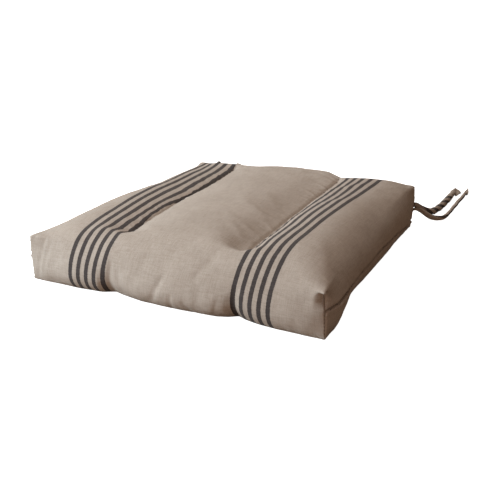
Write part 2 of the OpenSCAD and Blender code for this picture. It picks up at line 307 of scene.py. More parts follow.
def top_z(x, y):
    e = edge_h(x, y)
    side_w = np.where(x < 0, 40.0, 80.0)
    across = np.where(x < 0, rise(half_w(y) - np.abs(x), side_w), 1 - (1 - c01((half_w(y) - x) / 82.0)) ** 3.1)
    ins = across * rise(HD - np.abs(y), np.where(y < 0, 84.0, 30.0))
    return e + (crown_h(x, y) - valley(x, y) - e) * ins + back_lift(x, y)


def low_z(x, y):
    ins = rise(half_w(y) - np.abs(x), 26) * rise(HD - np.abs(y), 26)
    return 0.5 + (under(x, y) - 0.5) * ins


WALL_T = np.linspace(0, 1, 201)


def wall_curve(at, off):
    """A smooth outline of the wall: how far out it stands at each height from 0 to 1."""
    o = np.interp(WALL_T, at, off)
    k = np.hanning(27)
    k /= k.sum()
    return np.convolve(np.concatenate([2 * o[0] - o[13:0:-1], o, 2 * o[-1] - o[-2:-15:-1]]), k, "valid")


WALL_O = wall_curve([0, 0.12, 0.25, 0.42, 0.6, 0.76, 0.9, 1], [-1, -0.15, 0.65, 1, 0.85, 0.4, -0.4, -1.2])
WALL_R = wall_curve([0, 0.12, 0.25, 0.4, 0.56, 0.7, 0.87, 1], [-1, 0.0, 0.7, 0.95, 0.95, 0.72, 0.0, -0.8])


def wall_off(q, right=False):
    return np.where(right, np.interp(q, WALL_T, WALL_R), np.interp(q, WALL_T, WALL_O))


def seam_z(y):
    return np.interp(y, [-200, -160, -100, 0, 80, 150, 200], [36, 36, 37, 36.5, 31, 20, 12])


def spaced(lo, hi, step, fixed=()):
    """Positions from lo to hi whose spacing is step(position); one falls on each fixed value."""
    s = np.linspace(lo, hi, 4001)
    c = np.concatenate([[0], np.cumsum(0.5 * (1 / step(s[1:]) + 1 / step(s[:-1])) * np.diff(s))])
    n = int(round(c[-1]))
    out = np.interp(np.linspace(0, c[-1], n + 1), c, s)
    for f in fixed:
        out[np.argmin(np.abs(out - f))] = f
    return out


def step_x(x):
    h = np.full_like(x, 4.6)
    for r in (ROW_L, ROW_R):
        h = np.minimum(h, 1.7 + np.maximum(0, np.abs(x - r) - 7) * 0.14)
    return np.minimum(h, 1.9 + (215 - np.abs(x)) * 0.10)


def step_y(y):
    return np.minimum(3.4, 1.9 + (200 - np.abs(y)) * 0.09)


XF = spaced(-215, 215, step_x, (ROW_L, ROW_R))
XB = np.interp(XF, [-215, ROW_L, ROW_R, 215], [-180, ROW_L, ROW_R, 180])
GY = spaced(-200, 200, step_y)
NU, NV = len(XF) - 1, len(GY) - 1
NLO, NHI = 8, 14  # rings under and over the side seam
NR = NLO + NHI


def build_pad(scale_in=0.0):
    """Arrays of the closed skin: points in mm, quads, uv per corner and the marks used for pinning."""
    v = (GY + HD) / DEPTH
    gx = XF[None, :] * (1 - v[:, None]) + XB[None, :] * v[:, None]
    gy = np.repeat(GY[:, None], NU + 1, 1)
    h = half_w(gy)

    def sheet(pull, pull_r, z):
        dx = soft((gy + HD) / DEPTH) * (pull * fade(h + gx) - pull_r * fade(h - gx))
        dy = pull * soft(0.5 + 0.5 * gx / h) * (fade(HD + gy) - fade(HD - gy))
        return np.stack([gx + dx, gy + dy, z], -1)

    top = sheet(-WALL_O[-1] * BULGE, -WALL_R[-1] * BULGE, top_z(gx, gy))
    low = sheet(-WALL_O[0] * BULGE, -WALL_R[0] * BULGE, low_z(gx, gy))

    # the boundary, counter-clockwise from the front left corner
    ij = [(0, i) for i in range(NU)] + [(j, NU) for j in range(NV)] + [(NV, i) for i in range(NU, 0, -1)] + [(j, 0) for j in range(NV, 0, -1)]
    ij = np.array(ij)
    nb = len(ij)
    by, bx = gy[ij[:, 0], ij[:, 1]], gx[ij[:, 0], ij[:, 1]]
    bh = half_w(by)
    side = np.zeros(nb, int)  # 0 front, 1 right, 2 back, 3 left
    side[NU : NU + NV] = 1
    side[NU + NV : 2 * NU + NV] = 2
    side[2 * NU + NV :] = 3
    nrm = np.array([[0, -1], [1, 0], [0, 1], [-1, 0]], float)[side]
    sf = np.where((side == 1) | (side == 3), soft((by + HD) / DEPTH), soft(0.5 + 0.5 * bx / bh))
    corners = [0, NU, NU + NV, 2 * NU + NV]
    sf[corners] = 0
    zt, zb = top[ij[:, 0], ij[:, 1], 2], low[ij[:, 0], ij[:, 1], 2]
    hgt = zt - zb
    qs = np.where(side == 0, 0.58, (seam_z(by) - zb) / hgt)
    qs[corners[1]] = qs[corners[0]] = 0.58
    tl = np.concatenate([np.linspace(0, 1, NLO + 1)])
    rings = []
    for r in range(1, NR):
        if r <= NLO:
            q = qs * (1 - (1 - r / NLO) ** 1.6)
        else:
            t = (r - NLO) / NHI
            q = qs + (1 - qs) * (t**1.5)
        o = BULGE * sf * wall_off(q, side == 1)
        rings.append(np.stack([bx + o * nrm[:, 0], by + o * nrm[:, 1], zb + hgt * q], -1))
    rings = np.array(rings)  # NR-1, nb, 3
    pts = np.concatenate([top.reshape(-1, 3), low.reshape(-1, 3), rings.reshape(-1, 3)])
    ng = (NU + 1) * (NV + 1)
    g = np.arange(ng).reshape(NV + 1, NU + 1)
    w = np.zeros((NR + 1, nb + 1), int)
    w[NR, :nb] = g[ij[:, 0], ij[:, 1]]
    w[0, :nb] = ng + g[ij[:, 0], ij[:, 1]]
    for r in range(1, NR):
        w[r, :nb] = 2 * ng + (r - 1) * nb + np.arange(nb)
    w[:, nb] = w[:, 0]
    # faces
    quads, uvs, patch = [], [], []
    # woven coordinates
    skew = 4.0 * v[:, None]
    ux = gx + skew
    a, b, c, d = g[:-1, :-1], g[:-1, 1:], g[1:, 1:], g[1:, :-1]
    quads.append(np.stack([a, b, c, d], -1).reshape(-1, 4))
    U = np.stack([ux[:-1, :-1], ux[:-1, 1:], ux[1:, 1:], ux[1:, :-1]], -1).reshape(-1, 4)
    V = np.stack([gy[:-1, :-1], gy[:-1, 1:], gy[1:, 1:], gy[1:, :-1]], -1).reshape(-1, 4)
    uvs.append(np.stack([U, V], -1))
    patch.append(np.zeros(len(U), int))
    quads.append(ng + np.stack([a, d, c, b], -1).reshape(-1, 4))
    U = np.stack([ux[:-1, :-1], ux[1:, :-1], ux[1:, 1:], ux[:-1, 1:]], -1).reshape(-1, 4)
    V = np.stack([gy[:-1, :-1], gy[1:, :-1], gy[1:, 1:], gy[:-1, 1:]], -1).reshape(-1, 4)
    uvs.append(np.stack([U, -V - 2 * HD - 70], -1))
    patch.append(np.ones(len(U), int))
    # walls: length down the wall from the top edge
    wp = pts[w]  # NR+1, nb+1, 3
    seg = np.linalg.norm(np.diff(wp, axis=0), axis=-1)
    down = np.concatenate([np.cumsum(seg[::-1], 0)[::-1], np.zeros((1, nb + 1))])  # ring r: from the top
    wx = np.append(bx, bx[0])
    wy = np.append(by, by[0])
    for sd, lo_b, hi_b in ((0, 0, NU), (1, NU, NU + NV), (2, NU + NV, 2 * NU + NV), (3, 2 * NU + NV, nb)):
        sl0, sl1 = slice(lo_b, hi_b), slice(lo_b + 1, hi_b + 1)
        q4 = np.stack([w[:-1, sl0], w[:-1, sl1], w[1:, sl1], w[1:, sl0]], -1).reshape(-1, 4)
        if sd == 0:
            along = wx
        elif sd == 2:
            along = wx + 4.0
        elif sd == 1:
            along = 400 + wy
        else:
            along = -400 - wy
        al = np.repeat(along[None, :], NR + 1, 0)
        dn = down.copy()
        vv = {0: -HD - dn, 1: -dn, 2: HD + dn, 3: -dn}[sd]
        U = np.stack([al[:-1, sl0], al[:-1, sl1], al[1:, sl1], al[1:, sl0]], -1).reshape(-1, 4)
        V = np.stack([vv[:-1, sl0], vv[:-1, sl1], vv[1:, sl1], vv[1:, sl0]], -1).reshape(-1, 4)
        quads.append(q4)
        uvs.append(np.stack([U, V], -1))
        patch.append(np.full(len(q4), 2 + sd))
    info = {"g": g, "ng": ng, "w": w, "gx": gx, "gy": gy, "nb": nb, "side": side, "corners": corners, "bx": bx, "by": by}
    return pts, np.concatenate(quads), np.concatenate(uvs), np.concatenate(patch), info


PTS, QUADS, UVS, PATCH, INFO = build_pad()


def edges_of(quads):
    e = np.concatenate([quads[:, [0, 1]], quads[:, [1, 2]], quads[:, [2, 3]], quads[:, [3, 0]]])
    return np.unique(np.sort(e, 1), axis=0)


EDGES = edges_of(QUADS)


def relax(pts, times, weight):
    """Smooths without shrinking; weight is 0 where a point stays."""
    deg = np.bincount(EDGES.ravel(), minlength=len(pts)).astype(float)[:, None]
    for k in range(2 * times):
        acc = np.zeros_like(pts)
        np.add.at(acc, EDGES[:, 0], pts[EDGES[:, 1]])
        np.add.at(acc, EDGES[:, 1], pts[EDGES[:, 0]])
        pts = pts + (acc / deg - pts) * weight * (1.0 if k % 2 == 0 else -1.02)
    return pts


def side_shift(at, table):
    return np.interp(at, *zip(*table))


# how far each side stands out from the regular outline, at its top and its bottom edge
FRONT_TOP = [(-215, -3.4), (-170, 0), (0, 2), (140, 1), (190, 3), (215, 5.6)]
FRONT_LOW = [(-215, 4), (-195, 9), (-147, 15), (-112, 13), (-96, 3), (-80, 10), (-50, 18), (0, 21), (60, 19), (75, 13), (87, 3), (100, 11), (120, 17), (150, 20), (185, 19), (215, 14)]
RIGHT_TOP = [(-200, -5.5), (-160, -2), (-100, 0), (100, 2), (160, 4), (200, 5)]
RIGHT_LOW = [(-200, 0), (-170, 6), (-140, -1), (-110, -8), (-80, -9), (20, -3), (60, -1), (100, 0), (150, 3), (200, 2)]
BACK_TOP = [(-180, 1), (-60, 5), (0, 11), (50, 8), (76, -3), (92, 3), (140, 8), (180, 8)]
BACK_LOW = [(-180, 0), (0, 4), (180, 4)]
LEFT_TOP = [(-200, 16), (-160, 12), (-120, 12), (-60, 10), (0, 6), (60, -2), (120, -8), (160, -11), (200, -12.5)]
LEFT_LOW = [(-200, 8.5), (-170, 6.5), (-100, 4), (0, 2), (100, -3), (200, -8)]


def skewed(pts):
    x, y, z = pts.T
    su, sv = x / half_w(y), y / HD
    q = smooth(z / 58.0)
    out = pts.copy()
    for w, at, axis, sign, top, low in (
        (c01((1 - sv) / 2) ** 7, x, 1, -1, FRONT_TOP, FRONT_LOW),
        (c01((1 + su) / 2) ** 7, y, 0, 1, RIGHT_TOP, RIGHT_LOW),
        (c01((1 + sv) / 2) ** 7, x, 1, 1, BACK_TOP, BACK_LOW),
        (c01((1 - su) / 2) ** 7, y, 0, -1, LEFT_TOP, LEFT_LOW),
    ):
        out[:, axis] += sign * w * (side_shift(at, top) * q + side_shift(at, low) * (1 - q))
    # the back left corner stands out below its top, where its ties are sewn
    root = np.exp(-((np.hypot(x + 180, y - 200) / 24.0) ** 2)) * smooth((64 - z) / 24)
    out[:, 0] -= 13.0 * root
    out[:, 1] += 3.0 * root
    return out


def mesh_object(name, pts, faces, uv=None, material=None, smooth_faces=True):
    me = bpy.data.meshes.new(name)
    me.from_pydata([tuple(p) for p in pts], [], [tuple(int(i) for i in f) for f in faces])
    if uv is not None:
        layer = me.uv_layers.new(name="cloth")
        layer.data.foreach_set("uv", np.asarray(uv, np.float32).reshape(-1))
    me.update()
    if smooth_faces:
        me.polygons.foreach_set("use_smooth", np.ones(len(me.polygons), bool))
    o = bpy.data.objects.new(name, me)
    scene.collection.objects.link(o)
    if material is not None:
        me.materials.append(material)
    return o


def normals_of(pts, quads):
    a, b, c, d = (pts[quads[:, k]] for k in range(4))
    n = np.cross(c - a, d - b)
    out = np.zeros_like(pts)
    for k in range(4):
        np.add.at(out, quads[:, k], n)
    return out / np.maximum(np.linalg.norm(out, axis=1, keepdims=True), 1e-9)


def get_co(o):
    co = np.zeros(len(o.data.vertices) * 3, np.float32)
    o.data.vertices.foreach_get("co", co)
    return co.reshape(-1, 3).astype(float)


def set_co(o, co):
    o.data.vertices.foreach_set("co", np.asarray(co, np.float32).reshape(-1))
    o.data.update()


_w = np.full((len(PTS), 1), 0.5)
_w[INFO["w"][:, INFO["corners"]].ravel()] = 0.0
PTS = relax(skewed(relax(PTS, 10, _w)), 2, _w)

# grid place of every point: woven x and y, and the ring on the wall (NR on the top, 0 underneath)
GRID = np.zeros((len(PTS), 3))
GRID[: INFO["ng"], 0] = GRID[INFO["ng"] : 2 * INFO["ng"], 0] = INFO["gx"].ravel()
GRID[: INFO["ng"], 1] = GRID[INFO["ng"] : 2 * INFO["ng"], 1] = INFO["gy"].ravel()
GRID[: INFO["ng"], 2] = NR
for _r in range(1, NR):
    GRID[INFO["w"][_r, :-1]] = np.stack([INFO["bx"], INFO["by"], np.full(INFO["nb"], _r)], 1)

# the stripes run straight on the finished shape
_across = np.isin(PATCH, (0, 1, 2, 4))
_v = (PTS[QUADS][:, :, 1] + HD) / DEPTH
_x = PTS[QUADS][:, :, 0]
_low = smooth((50 - PTS[QUADS][:, :, 2]) / 60.0) * (PATCH == 2)[:, None]
_y = PTS[QUADS][:, :, 1]
_t = c01((_x + 160.0) / 51.0)
_far = np.interp(_y, [-200, -110, -80, -30, 0, 25, 85, 140, 200], [0, 0, -3.0, -4.2, 1.5, 5, 5, 5, 4.5])
_mid = np.interp(_y, [-200, -110, -80, -30, 0, 25, 85, 140, 200], [0, 0, 0.8, 0.8, 2.5, 4, 2, 4, 3.5])
_near = np.interp(_y, [-200, -30, 25, 85, 140, 200], [0, 0, 0.5, 1.5, 2.5, 2.5])
_bend = np.where(_t > 0.75, _mid + (_far - _mid) * (4 * _t - 3), np.where(_t > 0.5, _near + (_mid - _near) * (4 * _t - 2), _near))
_left = 4.0 * _v - 2.5 - 2.6 * _low - _bend * (PATCH == 0)[:, None] - 5.0 * _low * (1 - _t)
_right = -2.2 - 3.2 * _v - 2.0 * _low - 5.5 * _low * c01((_x - 83) / 51.0)
_mixed = smooth((_x + 70) / 110.0)
UVS[_across, :, 0] = (_x + _left * (1 - _mixed) + _right * _mixed)[_across]


_rng = np.random.RandomState(77)
for _r in (ROW_L, ROW_R):
    _px, _py = PTS[QUADS][:, :, 0], PTS[QUADS][:, :, 1]
    _dx = _px - _r
    _wob = np.zeros(_dx.shape)
    _at = -170.0
    while _at < 196:
        _at += _rng.uniform(8, 15)
        for _s in (-1, 1):
            _k = ridge((_py - _at - _rng.uniform(-3, 3) - _rng.uniform(-0.4, 0.4) * np.abs(_dx)) / _rng.uniform(2.6, 4.4))
            _wob += (_dx * _s >= 0) * _rng.uniform(-1.7, 1.7) * _k * np.exp(-((np.abs(_dx) / _rng.uniform(12, 22)) ** 1.5))
    UVS[PATCH == 0, :, 0] += (_wob * row_on(_py))[PATCH == 0]


def settle(pts, reach=5.0):
    """Cloth simulation: the cover under pressure, held along its seams. Returns the moved points."""
    o = mesh_object("settle", pts / 1000.0, QUADS)
    n = normals_of(pts, QUADS)
    x, y = pts[:, 0], pts[:, 1]
    w = INFO["w"]
    pin = np.where(n[:, 2] < -0.7, 1.0, 0.0)
    pin[w[:, INFO["corners"]].ravel()] = 1.0
    pin[w[NLO]] = 0.9
    on_top = GRID[:, 2] > NR - 0.5
    for r in (ROW_L, ROW_R):
        pin[on_top & (np.abs(GRID[:, 0] - r) < 0.6) & (GRID[:, 1] > -158) & (GRID[:, 1] < 186)] = 1.0
    grow = bell((x - ROW_L) / 25) + bell((x - ROW_R) / 25) + 0.25 + 0.5 * (n[:, 1] < -0.7)
    for cx, cy in ((-215, -200), (215, -200), (180, 200), (-180, 200)):
        grow += np.exp(-(np.hypot(x - cx, y - cy) / 60) ** 2)
    grow = np.round(c01(grow), 2)
    for name, values in (("pin", pin), ("grow", grow)):
        g = o.vertex_groups.new(name=name)
        for value in np.unique(values):
            if value > 0:
                g.add(np.where(values == value)[0].tolist(), float(value), "REPLACE")
    m = o.modifiers.new("cloth", "CLOTH")
    c = m.settings
    c.quality = 4
    c.mass = 0.12
    c.tension_stiffness = c.compression_stiffness = 25
    c.shear_stiffness = 8
    c.bending_stiffness = 0.2
    c.tension_damping = c.compression_damping = c.shear_damping = 8
    c.bending_damping = 1
    c.air_damping = 2
    c.use_pressure = True
    c.uniform_pressure_force = 2.0
    c.vertex_group_mass = "pin"
    c.pin_stiffness = 2
    c.vertex_group_shrink = "grow"
    c.shrink_min = 0.0
    c.shrink_max = -0.045
    c.effector_weights.gravity = 0
    m.collision_settings.use_collision = False
    m.collision_settings.use_self_collision = False
    m.point_cache.frame_start = 1
    m.point_cache.frame_end = 18
    for f in range(1, 19):
        scene.frame_set(f)
    dg = bpy.context.evaluated_depsgraph_get()
    e = o.evaluated_get(dg)
    me = e.to_mesh()
    co = np.zeros(len(me.vertices) * 3, np.float32)
    me.vertices.foreach_get("co", co)
    move = co.reshape(-1, 3) * 1000.0 - pts
    e.to_mesh_clear()
    scene.frame_set(1)
    old = o.data
    bpy.data.objects.remove(o, do_unlink=True)
    bpy.data.meshes.remove(old)
    far = np.linalg.norm(move, axis=1, keepdims=True)
    print("cloth moved at most %.2f mm" % far.max())
    return pts + move * np.minimum(1.0, reach / np.maximum(far, 1e-6))


COARSE = settle(PTS)


def finer(pts):
    """One Catmull-Clark step that keeps the woven coordinates and each point's grid place."""
    o = mesh_object("finer", pts / 1000.0, QUADS, UVS / 1000.0)
    a = o.data.attributes.new("grid", "FLOAT_VECTOR", "POINT")
    a.data.foreach_set("vector", GRID.astype(np.float32).ravel())
    crease = o.data.attributes.new("crease_edge", "FLOAT", "EDGE")
    w, nb = INFO["w"], INFO["nb"]
    hard = set()
    for c in INFO["corners"]:
        for r in range(NR):
            hard.add((min(w[r, c], w[r + 1, c]), max(w[r, c], w[r + 1, c])))
    ev = np.zeros(len(o.data.edges) * 2, int)
    o.data.edges.foreach_get("vertices", ev)
    ev = np.sort(ev.reshape(-1, 2), 1)
    crease.data.foreach_set("value", np.array([0.75 if (p, q) in hard else 0.0 for p, q in ev.tolist()], np.float32))
    m = o.modifiers.new("sub", "SUBSURF")
    m.levels = m.render_levels = 1
    m.uv_smooth = "NONE"
    dg = bpy.context.evaluated_depsgraph_get()
    me = bpy.data.meshes.new_from_object(o.evaluated_get(dg), preserve_all_data_layers=True, depsgraph=dg)
    old = o.data
    bpy.data.objects.remove(o, do_unlink=True)
    bpy.data.meshes.remove(old)
    return me


def arr(data, key, n, kind=np.float32):
    out = np.zeros(len(data) * n, kind)
    data.foreach_get(key, out)
    return out.reshape(-1, n) if n > 1 else out


def line_d(p, a, b):
    """Distance from each p to the segment a-b, and how far along it (0 to 1)."""
    a, b = np.array(a, float), np.array(b, float)
    t = c01((p - a) @ (b - a) / ((b - a) @ (b - a)))
    return np.linalg.norm(p - a - t[:, None] * (b - a), axis=1), t


def swell(p, seed, longest, shortest, count):
    """Soft random undulation about 1 high, made of plane waves."""
    rng = np.random.RandomState(seed)
    out = np.zeros(len(p))
    for _ in range(count):
        k = rng.normal(size=3)
        k /= np.linalg.norm(k)
        length = shortest + (longest - shortest) * rng.rand()
        out += np.sin(p @ k * 2 * np.pi / length + rng.rand() * 6.283)
    return out / math.sqrt(count)


# folds on the front face: (x, z) start, (x, z) end, half width, depth
FRONT_FOLDS = [
    ((-17, 42), (-27, 14), 4.2, 1.9),
    ((-27, 16), (-36, 5), 5.0, 0.9),
    ((0, 22), (0, 3), 3.2, 1.7),
    ((19, 16), (29, 2), 3.0, 1.8),
    ((45, 72), (30, 50), 6.0, 1.5),
    ((40, 40), (38, 14), 5.5, 0.8),
    ((66, 24), (60, 6), 4.5, 0.9),
    ((-46, 58), (-58, 26), 7.0, 0.9),
    ((-84, 36), (-76, 12), 5.0, 1.2),
    ((-96, 44), (-93, 8), 4.0, 1.0),
    ((88, 40), (92, 10), 4.5, 1.0),
    ((150, 30), (158, 6), 7.0, 0.7),
    ((182, 40), (176, 8), 7.0, 0.6),
    ((-180, 44), (-186, 8), 6.0, 0.7),
    ((-206, 58), (-212, 10), 3.0, 1.2),
    ((-197, 56), (-200, 26), 3.0, 0.8),
]
# hollows on the top: x, y, radius along x, radius along y, depth
DENTS = [
    (66, -71, 20, 46, 2.6),
    (52, 10, 26, 40, 2.0),
    (20, -60, 40, 26, 1.4),
    (-20, -8, 34, 20, 1.2),
    (62, -138, 13, 26, 2.2),
    (-82, 60, 18, 40, 1.0),
    (108, 60, 16, 34, 1.3),
    (112, -60, 14, 40, 1.0),
    (-140, 40, 18, 60, 0.8),
    (-6, 120, 40, 24, 1.2),
    (40, 150, 26, 20, 1.5),
]
# long soft folds on the top: start, end, half width, height
TOP_FOLDS = [
    ((60, -120), (14, -76), 7.0, 1.1),
    ((64, -96), (-4, -52), 8.0, 0.9),
    ((60, -40), (8, -10), 9.0, 1.0),
    ((58, 0), (14, 44), 9.0, 0.8),
    ((-90, -120), (-50, -150), 8.0, 1.0),
    ((-88, -60), (-48, -84), 9.0, 0.7),
    ((90, -150), (124, -172), 8.0, 0.9),
    ((92, 110), (130, 150), 8.0, 0.9),
    ((94, 30), (128, 60), 9.0, 0.7),
    ((-120, -150), (-150, -176), 7.0, 0.8),
    ((200, -170), (170, -120), 8.0, 0.9),
    ((172, 182), (150, 140), 7.0, 0.8),
    ((60, 176), (30, 150), 7.0, 1.0),
    ((-92, 168), (-60, 140), 8.0, 0.8),
]


def detail(pts, quads, grid):
    """Puckers, dents, folds and seam lines, in mm, on the plump shape."""
    n = normals_of(pts, quads)
    x, y, z = pts.T
    gx, gy, ring = grid.T
    top = c01((n[:, 2] - 0.15) / 0.5) * (ring > NR - 0.5)
    on = row_on(gy)
    d = np.zeros(len(pts))
    rng = np.random.RandomState(11)
    slide = np.zeros(len(pts))
    for r in (ROW_L, ROW_R):
        dx = gx - r
        d -= top * on * (2.4 if r == ROW_R else 1.7) * np.exp(-((np.abs(dx) / 2.6) ** 1.3))
        at = -168.0
        while at < 194:
            at += rng.uniform(8.5, 14.5)
            high = rng.uniform(0.5, 1.7)
            wide = rng.uniform(2.2, 3.8)
            for sgn in (-1, 1):
                weak = 0.6 if r == ROW_R and sgn > 0 else (0.6 if sgn > 0 else 1.0)
                lean = rng.uniform(-0.45, 0.45)
                reach = rng.uniform(8, 24)
                off = rng.uniform(-1.5, 1.5)
                m = (dx * sgn >= 0) & (np.abs(dx) < 60)
                f = weak * high * rng.uniform(0.6, 1.2) * ridge((gy[m] - at - off - lean * np.abs(dx[m])) / wide)
                d[m] += top[m] * on[m] * f * np.exp(-((np.abs(dx[m]) / reach) ** 1.6))
    # the front face's folds run up from the edge
    front = c01((-n[:, 1] - 0.25) / 0.4)
    p2 = np.stack([x, z], 1)
    for a, b, wide, deep in FRONT_FOLDS:
        dist, t = line_d(p2, a, b)
        d -= front * 0.72 * deep * bell(dist / wide)
        side = (x - np.interp(t, [0, 1], [a[0], b[0]])) / wide
        d += front * 0.16 * deep * np.exp(-((side - 1.9) ** 2)) * np.exp(-((np.maximum(0, dist - 3 * wide) / wide) ** 2)) * smooth(t * 4) * smooth((1 - t) * 4)
    for cx, cy, rx, ry, deep in DENTS:
        d -= top * deep * bell(np.hypot((x - cx) / rx, (y - cy) / ry))
    p2 = np.stack([x, y], 1)
    for a, b, wide, high in TOP_FOLDS:
        dist, t = line_d(p2, a, b)
        d += top * high * bell(dist / wide) * (0.35 + 0.65 * np.sin(np.pi * c01(t)) )
    loose = c01(0.25 + n[:, 2]) * 0 + (n[:, 2] > -0.6)
    d += loose * (0.34 * swell(pts, 3, 95, 45, 14) + 0.13 * swell(pts, 5, 34, 16, 18))
    # seams
    h = half_w(gy)
    wall = (ring > 0.4) & (ring < NR - 0.4)
    gap = np.stack([HD + gy, h - gx, HD - gy, h + gx], 1)
    sd = np.argmin(gap, 1)
    w = INFO["w"]
    for k in (1, 2, 3):
        cols = np.where(INFO["side"] == k)[0]
        ring_at = COARSE[w[NLO, cols]]
        key = INFO["by"][cols] if k != 2 else INFO["bx"][cols]
        o = np.argsort(key)
        zs = np.interp(gy if k != 2 else gx, key[o], ring_at[o, 2])
        m = wall & (sd == k)
        dz = z[m] - zs[m]
        run = 1.0 if k != 2 else 0.8
        d[m] += -3.6 * run * np.exp(-((np.abs(dz + 0.2) / 1.5) ** 1.8)) + 0.35 * bell((dz - 3.6) / 2.4) + 1.4 * bell((dz + 3.2) / 2.3)
        s = gy[m] if k != 2 else gx[m]
        tug = np.zeros(m.sum())
        rr = np.random.RandomState(20 + k)
        at = -196.0
        while at < 196:
            at += rr.uniform(9, 19)
            tug += rr.uniform(0.2, 0.75) * ridge((s - at - rr.uniform(-0.5, 0.5) * dz) / rr.uniform(2.2, 4.0)) * np.exp(-np.abs(dz) / rr.uniform(5, 14))
        d[m] += tug * smooth(np.abs(dz) / 1.5)
    for k, (cx, cy) in enumerate(((-215, -200), (215, -200), (180, 200), (-180, 200))):
        near = np.hypot(gx - cx, gy - cy)
        m = wall & (near < 26)
        d[m] += -2.3 * bell(near[m] / 1.2) + 0.25 * bell((near[m] - 5.5) / 4.0) * smooth((z[m] - 3) / 8)
        rr = np.random.RandomState(40 + k)
        at = 4.0
        while at < 62:
            at += rr.uniform(6, 11)
            d[m] += rr.uniform(0.15, 0.6) * ridge((z[m] - at - rr.uniform(-0.4, 0.4) * near[m]) / rr.uniform(1.8, 3.0)) * np.exp(-near[m] / rr.uniform(5, 12)) * smooth(near[m] / 2.0)
    # the gathered points of the corners
    def blob(c, r, amount):
        return amount * np.exp(-(((pts - np.array(c, float)) ** 2).sum(1)) / (r * r))

    def cut(a, b, wide, deep):
        dist, t = line_d(pts, a, b)
        return -deep * bell(dist / wide) * (1 - 0.6 * t)

    d += blob((206, -204, 69), 6.5, 2.0) + blob((216, -195, 66), 6.5, 1.6) + cut((212, -209, 62), (220, -184, 71), 2.4, 2.8) + blob((211, -209, 60.5), 3.0, -2.2)
    d += cut((197, -211, 62), (195, -212, 46), 2.2, 0.5)
    d += cut((212, -206, 33), (216, -186, 27), 2.0, 0.8) + cut((213, -206, 40), (218, -176, 30), 3.0, 0.6)
    d += blob((-219, -192, 61), 7.0, 1.4) + cut((-222, -198, 60), (-212, -176, 66), 2.4, 1.3) + blob((-222, -199, 58), 3.0, -1.6)
    d += blob((184, 198, 66), 7.0, 1.4) + cut((185, 204, 64), (172, 186, 70), 2.6, 1.3) + blob((-170, 196, 56), 7.0, 1.0) + cut((-172, 203, 54), (-160, 186, 62), 2.6, 1.0)
    out = pts + n * d[:, None]
    # the front right corner is tucked in under its top
    away = np.hypot(np.where(gy < -199, 211 - x, 0), np.where(gx > half_w(gy) - 0.5, 0.8 * (y + 206), 0))
    near_b = (ring > 0.5) & (ring < NR - 0.5) & (x > 180) & (y < -170)
    tuck = 13.0 * c01(1 - away / 18.0) ** 1.6 * smooth((z - 36) / 13) * smooth((67 - 0.5 * c01(away / 18.0) * 18.0 - z) / 9) * near_b
    out += tuck[:, None] * np.array([-0.43, 0.90, 0.0])
    tuck = 2.8 * c01(1 - away / 16.0) ** 1.3 * smooth((z - 1) / 26) * smooth((56 - z) / 14) * near_b
    out += tuck[:, None] * np.array([0.0, 0.95, 0.0])
    out[:, 2] = np.maximum(out[:, 2], 0.3 + 0.0 * z)
    return out


_me = finer(COARSE)
FINE = arr(_me.vertices, "co", 3).astype(float) * 1000.0
FQ = arr(_me.loops, "vertex_index", 1, np.int32).reshape(-1, 4)
FG = arr(_me.attributes["grid"].data, "vector", 3).astype(float)
FINE = detail(FINE, FQ, FG)
_me.vertices.foreach_set("co", (FINE / 1000.0).astype(np.float32).ravel())
_me.attributes.remove(_me.attributes["grid"])
for _a in ("crease_edge",):
    if _a in _me.attributes:
        _me.attributes.remove(_me.attributes[_a])
_me.polygons.foreach_set("use_smooth", np.ones(len(_me.polygons), bool))
_me.update()
_me.name = "cover_cloth"
_me.materials.clear()
_me.materials.append(MAT_COVER)
pad = bpy.data.objects.new("cover_cloth", _me)
scene.collection.objects.link(pad)
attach(pad, "pad")
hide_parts("cover")

# ---------------------------------------------------------------- inside: filling and dividers
_in = relax(COARSE - normals_of(COARSE, QUADS) * 7.5, 3, np.full((len(COARSE), 1), 0.5))
_in += (14.0 * np.exp(-(np.hypot(_in[:, 0] - 211, _in[:, 1] + 206) / 20.0) ** 2))[:, None] * np.array([-0.5, 0.8, 0.0])
_in[:, 2] = np.clip(_in[:, 2], 3.6, None)
filling = mesh_object("filling_fibre", _in / 1000.0, QUADS, None, MAT_FILL)
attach(filling, "pad")
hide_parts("filling")

TREE = BVHTree.FromPolygons([Vector(p) for p in FINE.tolist()], [tuple(q) for q in FQ.tolist()])


def drop(x, y, up=True):
    """Where a vertical line through x, y meets the top (or the underside) of the cover."""
    hit = TREE.ray_cast(Vector((x, y, 200.0 if up else -200.0)), Vector((0, 0, -1.0 if up else 1.0)))
    return hit[0], hit[1]


